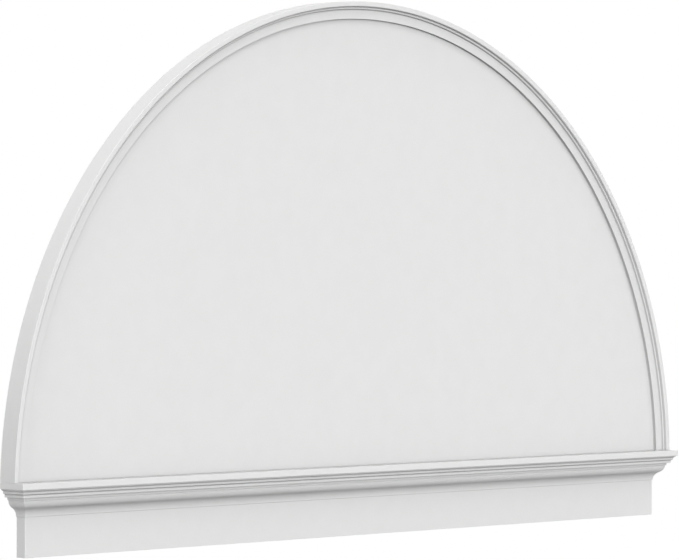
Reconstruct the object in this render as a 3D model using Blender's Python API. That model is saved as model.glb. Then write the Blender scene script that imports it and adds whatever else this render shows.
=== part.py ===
"""Half round pediment, as a door or window head: a moulded half round standing on a moulded bottom trim.

Metres, +Z up, the front facing -Y. The origin is the centre of the arch's circle, on the wall plane Y = 0.
"""

import math

import bmesh
import bpy

INCH = 0.0254

# Half round
ARCH_RADIUS = 41.0 * INCH
ARCH_DEPTH = 1.75 * INCH
ARCH_WIDTH = 1.5 * INCH
PANEL_DEPTH = 1.05 * INCH
ARCH_FILLET = 0.355 * INCH
ARCH_ROUND = 0.1 * INCH
ARCH_FLANK = 0.035 * INCH
ARCH_QUIRK_DEPTH = 0.24 * INCH
ARCH_QUIRK = 0.02 * INCH
ARCH_BEAD_SIDE = 0.055 * INCH
ARCH_BEAD_RISE = 0.045 * INCH
ARCH_BEAD = 0.09 * INCH
ARCH_BEAD_FALL = 0.035 * INCH
ARCH_SPLAY = 0.05 * INCH
ARCH_BAND_DEPTH = 0.41 * INCH
ARCH_STEPS = 128

# Bottom trim
CENTRE_BELOW_TRIM_TOP = 1.0 * INCH
TRIM_HEIGHT = 6.0 * INCH
BOARD_DEPTH = 1.0 * INCH
CROWN_OVERHANG = 1.75 * INCH
CROWN_FILLET = 0.5 * INCH
CROWN_QUIRK = 0.13 * INCH
CROWN_LIP = 0.08 * INCH
CROWN_LIP_FALL = 0.02 * INCH
UPPER_SPLAY = 0.12 * INCH
UPPER_SPLAY_DEPTH = 0.185 * INCH
BEAD_SIDE = 0.035 * INCH
BEAD_RISE = 0.02 * INCH
CROWN_BEAD = 0.12 * INCH
CROWN_BEAD_FALL = 0.025 * INCH
LOWER_SPLAY = 0.1 * INCH
LOWER_SPLAY_DEPTH = 0.175 * INCH
FACE_SIDE = 0.05 * INCH
FACE_RISE = 0.035 * INCH
CROWN_FACE = 0.165 * INCH
CROWN_FACE_STEP = 0.285 * INCH
CROWN_BAND = 0.22 * INCH
CROWN_BAND_STEP = 0.1 * INCH
OGEE_HEIGHT = 1.36 * INCH
OGEE_UPPER_SHARE = 0.468
FOOT_DEPTH = 0.06 * INCH

# Shared
ROUND_STEPS = 4
OGEE_STEPS = 8
JOINT_GAP = 0.0003
SHARP_ANGLE = math.radians(30)


def ogee(height, depth):
    """A cyma reversa of two arcs that meet on a tangent, as (down, back) points: round above, hollow below."""
    tilt = 2 * math.atan(depth / height)
    radii = height / math.sin(tilt)
    upper = radii * OGEE_UPPER_SHARE
    lower = radii - upper
    points = []
    for step in range(OGEE_STEPS + 1):
        turn = tilt * step / OGEE_STEPS
        points.append((upper * math.sin(turn), upper * (1 - math.cos(turn))))
    for step in reversed(range(OGEE_STEPS)):
        turn = tilt * step / OGEE_STEPS
        points.append((height - lower * math.sin(turn), depth - lower * (1 - math.cos(turn))))
    return points


def arch_profile():
    """The moulding's section as (radius, y) points, from the outer back corner round to the panel's face."""
    points = [(ARCH_RADIUS, 0.0), (ARCH_RADIUS, -ARCH_DEPTH)]
    for step in range(ROUND_STEPS + 1):
        turn = 0.5 * math.pi * step / ROUND_STEPS
        inward = ARCH_FILLET + ARCH_ROUND * math.sin(turn)
        back = ARCH_ROUND * (1 - math.cos(turn))
        points.append((ARCH_RADIUS - inward, -ARCH_DEPTH + back))
    for width, depth in (
        (ARCH_FLANK, ARCH_QUIRK_DEPTH - ARCH_ROUND),
        (ARCH_QUIRK, 0.0),
        (ARCH_BEAD_SIDE, -ARCH_BEAD_RISE),
        (ARCH_BEAD, ARCH_BEAD_FALL),
        (ARCH_SPLAY, ARCH_BAND_DEPTH - ARCH_QUIRK_DEPTH + ARCH_BEAD_RISE - ARCH_BEAD_FALL),
    ):
        inward += width
        back += depth
        points.append((ARCH_RADIUS - inward, -ARCH_DEPTH + back))
    points.append((ARCH_RADIUS - ARCH_WIDTH, -ARCH_DEPTH + back))
    points.append((ARCH_RADIUS - ARCH_WIDTH, -PANEL_DEPTH))
    return points


def crown_profile():
    """The trim's section as (overhang past the board, z) points, from the board's lower edge up to the top."""
    drop = 0.0
    overhang = CROWN_OVERHANG
    down = [(overhang, drop)]
    for height, depth in (
        (CROWN_FILLET, 0.0),
        (0.0, CROWN_QUIRK),
        (CROWN_LIP, CROWN_LIP_FALL),
        (UPPER_SPLAY, UPPER_SPLAY_DEPTH),
        (BEAD_SIDE, -BEAD_RISE),
        (CROWN_BEAD, CROWN_BEAD_FALL),
        (LOWER_SPLAY, LOWER_SPLAY_DEPTH),
        (FACE_SIDE, -FACE_RISE),
        (CROWN_FACE, 0.0),
        (0.0, CROWN_FACE_STEP),
        (CROWN_BAND, 0.0),
    ):
        drop += height
        overhang -= depth
        down.append((overhang, drop))
    overhang -= CROWN_BAND_STEP
    for along, back in ogee(OGEE_HEIGHT, overhang - FOOT_DEPTH):
        down.append((overhang - back, drop + along))
    down.append((0.0, drop + OGEE_HEIGHT))
    down.append((0.0, TRIM_HEIGHT))
    return [(out, CENTRE_BELOW_TRIM_TOP - fall) for out, fall in reversed(down)]


def finish_object(name, mesh_data, material):
    """Turns a bmesh into a named object with its faces pointing out and its round stretches smooth."""
    bmesh.ops.recalc_face_normals(mesh_data, faces=mesh_data.faces)
    mesh = bpy.data.meshes.new(name)
    mesh_data.to_mesh(mesh)
    mesh_data.free()
    mesh.shade_smooth()
    mesh.set_sharp_from_angle(angle=SHARP_ANGLE)
    mesh.materials.append(material)
    piece = bpy.data.objects.new(name, mesh)
    bpy.context.collection.objects.link(piece)
    return piece


def primed_urethane(name, grey):
    """White primer on moulded urethane, nearly matt."""
    material = bpy.data.materials.new(name)
    material.use_nodes = True
    shader = material.node_tree.nodes["Principled BSDF"]
    shader.inputs["Base Color"].default_value = (grey, grey, grey, 1.0)
    shader.inputs["Roughness"].default_value = 0.55
    shader.inputs["Metallic"].default_value = 0.0
    return material


def make_half_round():
    """Sweeps the arch's section round its centre. Every ring starts and ends on the flat cut at the foot."""
    foot = CENTRE_BELOW_TRIM_TOP + JOINT_GAP
    shape = bmesh.new()
    rings = []
    for radius, y in arch_profile():
        start = math.asin(foot / radius)
        ring = []
        for step in range(ARCH_STEPS + 1):
            angle = start + (math.pi - 2 * start) * step / ARCH_STEPS
            ring.append(shape.verts.new((radius * math.cos(angle), y, radius * math.sin(angle))))
        rings.append(ring)
    for outer, inner in zip(rings, rings[1:]):
        for step in range(ARCH_STEPS):
            shape.faces.new((outer[step], outer[step + 1], inner[step + 1], inner[step]))
    shape.faces.new(rings[0])
    shape.faces.new(rings[-1])
    right_foot = [ring[0] for ring in rings]
    left_foot = [ring[-1] for ring in rings]
    shape.faces.new(right_foot + left_foot[::-1])
    return finish_object("half_round", shape, primed_urethane("half_round_primer", 0.80))


def make_bottom_trim():
    """Takes the trim's section along the front and round both ends, with mitred corners, back to the wall."""
    half_board = ARCH_RADIUS - CROWN_OVERHANG
    shape = bmesh.new()
    levels = []
    for overhang, z in crown_profile():
        side = half_board + overhang
        front = -(BOARD_DEPTH + overhang)
        corners = ((-side, 0.0), (-side, front), (side, front), (side, 0.0))
        levels.append([shape.verts.new((x, y, z)) for x, y in corners])
    for low, high in zip(levels, levels[1:]):
        for corner in range(3):
            shape.faces.new((low[corner], low[corner + 1], high[corner + 1], high[corner]))
    shape.faces.new(levels[0])
    shape.faces.new(levels[-1])
    left_back = [level[0] for level in levels]
    right_back = [level[-1] for level in levels]
    shape.faces.new(left_back + right_back[::-1])
    return finish_object("bottom_trim", shape, primed_urethane("bottom_trim_primer", 0.80))


for old in list(bpy.data.objects):
    bpy.data.objects.remove(old, do_unlink=True)

make_half_round()
make_bottom_trim()
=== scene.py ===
"""Half round pediment, dressed: a moulded half round on a moulded bottom trim, in white primed urethane.

Metres, +Z up, the front facing -Y. The origin is the centre of the arch's circle, on the wall plane Y = 0.
"""

import math

import bmesh
import bpy
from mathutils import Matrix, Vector


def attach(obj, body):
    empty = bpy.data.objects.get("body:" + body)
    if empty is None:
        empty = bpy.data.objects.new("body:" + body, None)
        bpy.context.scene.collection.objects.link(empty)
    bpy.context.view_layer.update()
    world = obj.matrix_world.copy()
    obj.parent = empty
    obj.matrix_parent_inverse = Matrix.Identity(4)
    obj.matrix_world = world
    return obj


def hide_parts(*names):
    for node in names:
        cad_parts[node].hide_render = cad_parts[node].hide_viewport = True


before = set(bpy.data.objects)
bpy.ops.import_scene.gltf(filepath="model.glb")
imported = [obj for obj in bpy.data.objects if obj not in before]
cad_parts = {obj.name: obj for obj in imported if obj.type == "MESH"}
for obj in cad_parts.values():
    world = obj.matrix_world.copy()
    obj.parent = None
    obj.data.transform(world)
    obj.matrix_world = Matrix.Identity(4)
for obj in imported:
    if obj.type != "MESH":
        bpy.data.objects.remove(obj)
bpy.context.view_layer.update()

INCH = 0.0254

# Half round
ARCH_RADIUS = 41.0 * INCH
ARCH_DEPTH = 1.75 * INCH
ARCH_WIDTH = 1.5 * INCH
PANEL_DEPTH = 1.05 * INCH
ARCH_FILLET = 0.355 * INCH
ARCH_ROUND = 0.1 * INCH
ARCH_FLANK = 0.035 * INCH
ARCH_QUIRK_DEPTH = 0.24 * INCH
ARCH_QUIRK = 0.02 * INCH
ARCH_BEAD_SIDE = 0.055 * INCH
ARCH_BEAD_RISE = 0.045 * INCH
ARCH_BEAD = 0.09 * INCH
ARCH_BEAD_FALL = 0.035 * INCH
ARCH_SPLAY = 0.05 * INCH
ARCH_BAND_DEPTH = 0.41 * INCH
ARCH_STEPS = 320

# Bottom trim
CENTRE_BELOW_TRIM_TOP = 1.0 * INCH
TRIM_HEIGHT = 6.0 * INCH
BOARD_DEPTH = 1.0 * INCH
CROWN_OVERHANG = 1.75 * INCH
CROWN_FILLET = 0.5 * INCH
CROWN_QUIRK = 0.13 * INCH
CROWN_LIP = 0.08 * INCH
CROWN_LIP_FALL = 0.02 * INCH
UPPER_SPLAY = 0.12 * INCH
UPPER_SPLAY_DEPTH = 0.185 * INCH
BEAD_SIDE = 0.035 * INCH
BEAD_RISE = 0.02 * INCH
CROWN_BEAD = 0.12 * INCH
CROWN_BEAD_FALL = 0.025 * INCH
LOWER_SPLAY = 0.1 * INCH
LOWER_SPLAY_DEPTH = 0.175 * INCH
FACE_SIDE = 0.05 * INCH
FACE_RISE = 0.035 * INCH
CROWN_FACE = 0.165 * INCH
CROWN_FACE_STEP = 0.285 * INCH
CROWN_BAND = 0.22 * INCH
CROWN_BAND_STEP = 0.1 * INCH
OGEE_HEIGHT = 1.36 * INCH
OGEE_UPPER_SHARE = 0.468
FOOT_DEPTH = 0.06 * INCH

# Curves, and the gap that stands for the glued joint
ROUND_STEPS = 12
OGEE_STEPS = 20
JOINT_GAP = 0.0003

# Easing: radius, steps, least turn, largest share of a side, and the radius of the trim's front corners
EASE = 0.0006
EASE_STEPS = 3
EASED_FROM = math.radians(24)
EASED_SHARE = 0.45
CORNER_EASE = 0.0012

# The flat stretch that a section keeps past an end corner, so that the corner is eased as well
FLAT_RUN = 0.01

# Faces shade as one over a slight turn, or over a moderate one if they are of like size
SLIGHT_TURN = math.radians(3)
MODERATE_TURN = math.radians(35)
LIKE_SIZE = 0.5

# Camera, from the photograph's perspective
CAMERA_PLACE = (-5.87447 * ARCH_RADIUS, -5.54855 * ARCH_RADIUS, 0.41449 * ARCH_RADIUS)
CAMERA_TURN = math.radians(-46.372)
CAMERA_SENSOR = 36.0
CAMERA_LENS = 202.79
CAMERA_REACH = 200.0

# Light: broad soft studio lights, each as height and turn from the front in degrees, and strength
STUDIO_LIGHTS = {
    "front": (5, -30, 0.404),
    "left": (5, -80, 0.221),
    "right": (5, 20, 0.187),
    "front_high": (30, -30, 0.198),
    "boom": (60, 0, 0.226),
    "overhead": (85, 0, 0.335),
    "rear": (0, 180, 0.22),
}
LIGHT_WIDTH = math.radians(25)

# The white surround's glows, each as direction and strength: front, back, right and below
GLOWS = (
    ((0.0, -1.0, 0.0), 0.194),
    ((0.0, 1.0, 0.0), 1.645),
    ((1.0, 0.0, 0.0), 0.25),
    ((0.0, 0.0, -1.0), 0.14),
)
GLOW_FOCUS = 4.0

FLOOR_HEIGHT = -1.05
FLOOR_RADIUS = 8.0
FLOOR_SIDES = 96


def ogee(height, depth):
    """A cyma reversa of two arcs on one tangent, as (down, back) points: round above, hollow below."""
    tilt = 2 * math.atan(depth / height)
    radii = height / math.sin(tilt)
    upper = radii * OGEE_UPPER_SHARE
    lower = radii - upper
    points = []
    for step in range(OGEE_STEPS + 1):
        turn = tilt * step / OGEE_STEPS
        points.append((upper * math.sin(turn), upper * (1 - math.cos(turn))))
    for step in reversed(range(OGEE_STEPS)):
        turn = tilt * step / OGEE_STEPS
        points.append((height - lower * math.sin(turn), depth - lower * (1 - math.cos(turn))))
    return points


def arch_profile():
    """The moulding's section as (radius, y) points, from the outer back corner round to the panel's face."""
    points = [(ARCH_RADIUS, 0.0), (ARCH_RADIUS, -ARCH_DEPTH)]
    for step in range(ROUND_STEPS + 1):
        turn = 0.5 * math.pi * step / ROUND_STEPS
        inward = ARCH_FILLET + ARCH_ROUND * math.sin(turn)
        back = ARCH_ROUND * (1 - math.cos(turn))
        points.append((ARCH_RADIUS - inward, -ARCH_DEPTH + back))
    for width, depth in (
        (ARCH_FLANK, ARCH_QUIRK_DEPTH - ARCH_ROUND),
        (ARCH_QUIRK, 0.0),
        (ARCH_BEAD_SIDE, -ARCH_BEAD_RISE),
        (ARCH_BEAD, ARCH_BEAD_FALL),
        (ARCH_SPLAY, ARCH_BAND_DEPTH - ARCH_QUIRK_DEPTH + ARCH_BEAD_RISE - ARCH_BEAD_FALL),
    ):
        inward += width
        back += depth
        points.append((ARCH_RADIUS - inward, -ARCH_DEPTH + back))
    points.append((ARCH_RADIUS - ARCH_WIDTH, -ARCH_DEPTH + back))
    points.append((ARCH_RADIUS - ARCH_WIDTH, -PANEL_DEPTH))
    points.append((ARCH_RADIUS - ARCH_WIDTH - FLAT_RUN, -PANEL_DEPTH))
    return points


def crown_profile():
    """The trim's section as (overhang past the board, z) points, from the board's foot up to the top."""
    drop = 0.0
    overhang = CROWN_OVERHANG
    down = [(overhang - FLAT_RUN, drop), (overhang, drop)]
    for height, depth in (
        (CROWN_FILLET, 0.0),
        (0.0, CROWN_QUIRK),
        (CROWN_LIP, CROWN_LIP_FALL),
        (UPPER_SPLAY, UPPER_SPLAY_DEPTH),
        (BEAD_SIDE, -BEAD_RISE),
        (CROWN_BEAD, CROWN_BEAD_FALL),
        (LOWER_SPLAY, LOWER_SPLAY_DEPTH),
        (FACE_SIDE, -FACE_RISE),
        (CROWN_FACE, 0.0),
        (0.0, CROWN_FACE_STEP),
        (CROWN_BAND, 0.0),
    ):
        drop += height
        overhang -= depth
        down.append((overhang, drop))
    overhang -= CROWN_BAND_STEP
    for along, back in ogee(OGEE_HEIGHT, overhang - FOOT_DEPTH):
        down.append((overhang - back, drop + along))
    down.append((0.0, drop + OGEE_HEIGHT))
    down.append((0.0, TRIM_HEIGHT))
    down.append((-FLAT_RUN, TRIM_HEIGHT))
    return [(out, CENTRE_BELOW_TRIM_TOP - fall) for out, fall in reversed(down)]


def eased(points):
    """Rounds each sharp corner of an open run of points with a small curve, as a mould leaves it."""
    result = [points[0]]
    for before, corner, after in zip(points, points[1:], points[2:]):
        into = Vector(corner) - Vector(before)
        out = Vector(after) - Vector(corner)
        turn = into.angle(out)
        if turn < EASED_FROM:
            result.append(corner)
            continue
        reach = min(EASE * math.tan(turn / 2), EASED_SHARE * into.length, EASED_SHARE * out.length)
        start = Vector(corner) - into.normalized() * reach
        end = Vector(corner) + out.normalized() * reach
        for step in range(EASE_STEPS + 1):
            share = step / EASE_STEPS
            first = start.lerp(Vector(corner), share)
            second = Vector(corner).lerp(end, share)
            result.append(tuple(first.lerp(second, share)))
    result.append(points[-1])
    return result


def finish_object(name, mesh_data, materials):
    """Turns a bmesh into a named object. Round stretches are smooth, and flats stay flat to their edges."""
    bmesh.ops.recalc_face_normals(mesh_data, faces=mesh_data.faces)
    for edge in mesh_data.edges:
        turn = edge.calc_face_angle()
        narrow, wide = sorted(face.calc_area() for face in edge.link_faces)
        edge.smooth = turn < SLIGHT_TURN or (turn < MODERATE_TURN and narrow > LIKE_SIZE * wide)
    mesh = bpy.data.meshes.new(name)
    mesh_data.to_mesh(mesh)
    mesh_data.free()
    for material in materials:
        mesh.materials.append(material)
    for polygon in mesh.polygons:
        polygon.use_smooth = polygon.loop_total == 4
    piece = bpy.data.objects.new(name, mesh)
    bpy.context.collection.objects.link(piece)
    return piece


def make_half_round(materials):
    """Sweeps the arch's section round its centre. Every ring starts and ends on the flat cut at the foot."""
    foot = CENTRE_BELOW_TRIM_TOP + JOINT_GAP
    shape = bmesh.new()
    rings = []
    for radius, y in eased(arch_profile()):
        start = math.asin(foot / radius)
        ring = []
        for step in range(ARCH_STEPS + 1):
            angle = start + (math.pi - 2 * start) * step / ARCH_STEPS
            ring.append(shape.verts.new((radius * math.cos(angle), y, radius * math.sin(angle))))
        rings.append(ring)
    for outer, inner in zip(rings, rings[1:]):
        for step in range(ARCH_STEPS):
            shape.faces.new((outer[step], outer[step + 1], inner[step + 1], inner[step]))
    back = shape.faces.new(rings[0])
    back.material_index = 1
    shape.faces.new(rings[-1])
    right_foot = [ring[0] for ring in rings]
    left_foot = [ring[-1] for ring in rings]
    shape.faces.new(right_foot + left_foot[::-1])
    return finish_object("half_round_dressed", shape, materials)


def plan_at(overhang):
    """The trim's outline at one level: from the wall at the left, round both front corners, to the wall."""
    side = ARCH_RADIUS - CROWN_OVERHANG + overhang
    front = -(BOARD_DEPTH + overhang)
    points = [(-side, 0.0)]
    for step in range(EASE_STEPS + 1):
        turn = 0.5 * math.pi * step / EASE_STEPS
        inward = CORNER_EASE * (1 - math.cos(turn))
        back = CORNER_EASE * (1 - math.sin(turn))
        points.append((-side + inward, front + back))
    for x, y in reversed(points[1:]):
        points.append((-x, y))
    points.append((side, 0.0))
    return points


def make_bottom_trim(materials):
    """Takes the trim's section along the front and round both ends, back to the wall."""
    shape = bmesh.new()
    levels = []
    for overhang, z in eased(crown_profile()):
        levels.append([shape.verts.new((x, y, z)) for x, y in plan_at(overhang)])
    for low, high in zip(levels, levels[1:]):
        for corner in range(len(low) - 1):
            shape.faces.new((low[corner], low[corner + 1], high[corner + 1], high[corner]))
    shape.faces.new(levels[0])
    shape.faces.new(levels[-1])
    left_back = [level[0] for level in levels]
    right_back = [level[-1] for level in levels]
    back = shape.faces.new(left_back + right_back[::-1])
    back.material_index = 1
    return finish_object("bottom_trim_dressed", shape, materials)


def node(tree, kind, place, **settings):
    """A shader node with its properties set."""
    made = tree.nodes.new(kind)
    made.location = place
    for key, value in settings.items():
        setattr(made, key, value)
    return made


def start_material(name, offset):
    """A new material with its tree and shader, and the object's own coordinates moved by the offset."""
    material = bpy.data.materials.new(name)
    material.use_nodes = True
    tree = material.node_tree
    place = node(tree, "ShaderNodeTexCoord", (-1400, 0))
    shift = node(tree, "ShaderNodeMapping", (-1200, 0))
    shift.inputs["Location"].default_value = offset
    tree.links.new(place.outputs["Object"], shift.inputs["Vector"])
    return material, tree, tree.nodes["Principled BSDF"], shift.outputs["Vector"]


def colour_by(tree, shader, clouds, dark, light):
    """Colours the shader by the clouds of a noise, from dark to light."""
    tone = node(tree, "ShaderNodeValToRGB", (-800, 300))
    tone.color_ramp.elements[0].position = 0.30
    tone.color_ramp.elements[0].color = dark
    tone.color_ramp.elements[1].position = 0.70
    tone.color_ramp.elements[1].color = light
    tree.links.new(clouds.outputs["Fac"], tone.inputs["Fac"])
    tree.links.new(tone.outputs["Color"], shader.inputs["Base Color"])


def bump_by(tree, shader, height, strength, distance):
    """Gives the shader a fine relief from a height, at most the distance deep."""
    bump = node(tree, "ShaderNodeBump", (-600, -300))
    bump.inputs["Strength"].default_value = strength
    bump.inputs["Distance"].default_value = distance
    tree.links.new(height, bump.inputs["Height"])
    tree.links.new(bump.outputs["Normal"], shader.inputs["Normal"])


def primed_urethane(name, offset):
    """White primer sprayed on smooth moulded urethane: fine orange peel, faint clouds of tone and gloss."""
    material, tree, shader, place = start_material(name, (offset, 2 * offset, 3 * offset))

    clouds = node(tree, "ShaderNodeTexNoise", (-1000, 300))
    clouds.inputs["Scale"].default_value = 24.0
    clouds.inputs["Detail"].default_value = 4.0
    tree.links.new(place, clouds.inputs["Vector"])
    colour_by(tree, shader, clouds, (0.776, 0.776, 0.774, 1.0), (0.790, 0.790, 0.789, 1.0))

    mist = node(tree, "ShaderNodeTexNoise", (-1000, 0))
    mist.inputs["Scale"].default_value = 60.0
    mist.inputs["Detail"].default_value = 5.0
    gloss = node(tree, "ShaderNodeMapRange", (-800, 0))
    gloss.inputs["From Min"].default_value = 0.3
    gloss.inputs["From Max"].default_value = 0.7
    gloss.inputs["To Min"].default_value = 0.50
    gloss.inputs["To Max"].default_value = 0.62
    tree.links.new(place, mist.inputs["Vector"])
    tree.links.new(mist.outputs["Fac"], gloss.inputs["Value"])
    tree.links.new(gloss.outputs["Result"], shader.inputs["Roughness"])

    peel = node(tree, "ShaderNodeTexNoise", (-1000, -300))
    peel.inputs["Scale"].default_value = 700.0
    peel.inputs["Detail"].default_value = 2.0
    tree.links.new(place, peel.inputs["Vector"])
    bump_by(tree, shader, peel.outputs["Fac"], 0.35, 0.00006)
    return material


def bare_urethane(name, offset):
    """The unprimed back: cast urethane skin, cream, with faint flow clouds and fine open pores."""
    material, tree, shader, place = start_material(name, (offset, offset, offset))
    shader.inputs["Roughness"].default_value = 0.7

    flow = node(tree, "ShaderNodeTexNoise", (-1000, 300))
    flow.inputs["Scale"].default_value = 14.0
    flow.inputs["Detail"].default_value = 5.0
    flow.inputs["Distortion"].default_value = 0.4
    tree.links.new(place, flow.inputs["Vector"])
    colour_by(tree, shader, flow, (0.735, 0.718, 0.665, 1.0), (0.768, 0.752, 0.702, 1.0))

    pores = node(tree, "ShaderNodeTexVoronoi", (-1000, -300))
    pores.inputs["Scale"].default_value = 260.0
    open_pores = node(tree, "ShaderNodeMapRange", (-800, -300))
    open_pores.inputs["From Min"].default_value = 0.0
    open_pores.inputs["From Max"].default_value = 0.25
    tree.links.new(place, pores.inputs["Vector"])
    tree.links.new(pores.outputs["Distance"], open_pores.inputs["Value"])
    bump_by(tree, shader, open_pores.outputs["Result"], 0.5, 0.0002)
    return material


def make_floor():
    """A plain pale disc well below the piece, which hangs on a wall.

    It shows in the piece's gloss, and not in its light or shade.
    """
    shape = bmesh.new()
    bmesh.ops.create_circle(shape, cap_ends=True, radius=FLOOR_RADIUS, segments=FLOOR_SIDES)
    mesh = bpy.data.meshes.new("floor")
    shape.to_mesh(mesh)
    shape.free()
    floor = bpy.data.objects.new("floor", mesh)
    floor.location = (0.0, 0.0, FLOOR_HEIGHT)
    bpy.context.collection.objects.link(floor)
    material = bpy.data.materials.new("pale_floor")
    material.use_nodes = True
    tree = material.node_tree
    shader = tree.nodes["Principled BSDF"]
    place = node(tree, "ShaderNodeTexCoord", (-900, 0))
    grain = node(tree, "ShaderNodeTexNoise", (-700, 0))
    grain.inputs["Scale"].default_value = 2.0
    tone = node(tree, "ShaderNodeValToRGB", (-500, 0))
    tone.color_ramp.elements[0].color = (0.80, 0.80, 0.80, 1.0)
    tone.color_ramp.elements[1].color = (0.84, 0.84, 0.84, 1.0)
    tree.links.new(place.outputs["Object"], grain.inputs["Vector"])
    tree.links.new(grain.outputs["Fac"], tone.inputs["Fac"])
    tree.links.new(tone.outputs["Color"], shader.inputs["Base Color"])
    shader.inputs["Roughness"].default_value = 0.8
    mesh.materials.append(material)
    floor.visible_diffuse = False
    floor.visible_shadow = False


def make_surround():
    """The white surround: even to the camera and in reflections, with soft glows that light the piece."""
    world = bpy.data.worlds.new("studio")
    bpy.context.scene.world = world
    world.use_nodes = True
    tree = world.node_tree
    tree.nodes.clear()
    place = node(tree, "ShaderNodeTexCoord", (-1300, 0))
    glow = node(tree, "ShaderNodeBackground", (-100, 0))
    glow.inputs["Color"].default_value = (1.0, 1.0, 1.0, 1.0)
    total = None
    for row, (direction, strength) in enumerate(GLOWS):
        lean = node(tree, "ShaderNodeVectorMath", (-1100, -200 * row), operation="DOT_PRODUCT")
        lean.inputs[1].default_value = direction
        towards = node(tree, "ShaderNodeMath", (-900, -200 * row), operation="MAXIMUM")
        towards.inputs[1].default_value = 0.0
        narrowed = node(tree, "ShaderNodeMath", (-700, -200 * row), operation="POWER")
        narrowed.inputs[1].default_value = GLOW_FOCUS
        added = node(tree, "ShaderNodeMath", (-500, -200 * row), operation="MULTIPLY_ADD")
        added.inputs[1].default_value = strength
        added.inputs[2].default_value = 0.0
        tree.links.new(place.outputs["Generated"], lean.inputs[0])
        tree.links.new(lean.outputs["Value"], towards.inputs[0])
        tree.links.new(towards.outputs["Value"], narrowed.inputs[0])
        tree.links.new(narrowed.outputs["Value"], added.inputs[0])
        if total:
            tree.links.new(total.outputs["Value"], added.inputs[2])
        total = added
    tree.links.new(total.outputs["Value"], glow.inputs["Strength"])
    even = node(tree, "ShaderNodeBackground", (-100, -200))
    even.inputs["Color"].default_value = (1.0, 1.0, 1.0, 1.0)
    rays = node(tree, "ShaderNodeLightPath", (-100, 300))
    mix = node(tree, "ShaderNodeMixShader", (100, 0))
    out = node(tree, "ShaderNodeOutputWorld", (300, 0))
    tree.links.new(rays.outputs["Is Diffuse Ray"], mix.inputs["Fac"])
    tree.links.new(even.outputs["Background"], mix.inputs[1])
    tree.links.new(glow.outputs["Background"], mix.inputs[2])
    tree.links.new(mix.outputs["Shader"], out.inputs["Surface"])


def make_lights():
    """The broad soft lights: round the front, above and behind."""
    for name, (height, turn, strength) in STUDIO_LIGHTS.items():
        rise = math.radians(height)
        side = math.radians(turn)
        towards = Vector((math.sin(side) * math.cos(rise), -math.cos(side) * math.cos(rise), math.sin(rise)))
        data = bpy.data.lights.new(name, "SUN")
        data.energy = strength * math.pi
        data.angle = LIGHT_WIDTH
        data.specular_factor = 0.0
        light = bpy.data.objects.new(name, data)
        light.rotation_euler = towards.to_track_quat("Z", "Y").to_euler()
        bpy.context.collection.objects.link(light)


def make_camera():
    """The photograph's own viewpoint: far off to the left of the front, level with the piece's middle."""
    data = bpy.data.cameras.new("camera")
    data.sensor_width = CAMERA_SENSOR
    data.lens = CAMERA_LENS
    data.clip_end = CAMERA_REACH
    camera = bpy.data.objects.new("camera", data)
    camera.location = CAMERA_PLACE
    camera.rotation_euler = (math.pi / 2, 0.0, CAMERA_TURN)
    bpy.context.collection.objects.link(camera)
    bpy.context.scene.camera = camera


half_round = make_half_round([
    primed_urethane("half_round_primer_spray", 0.0),
    bare_urethane("half_round_back", 0.4),
])
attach(half_round, "root")
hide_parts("half_round")

bottom_trim = make_bottom_trim([
    primed_urethane("bottom_trim_primer_spray", 1.7),
    bare_urethane("bottom_trim_back", 2.3),
])
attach(bottom_trim, "root")
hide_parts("bottom_trim")

make_floor()
make_surround()
make_lights()
make_camera()

scene = bpy.context.scene
scene.view_settings.view_transform = "Standard"

# Diffuse light comes straight from the lights and the surround, and isn't passed on between surfaces
scene.cycles.diffuse_bounces = 0
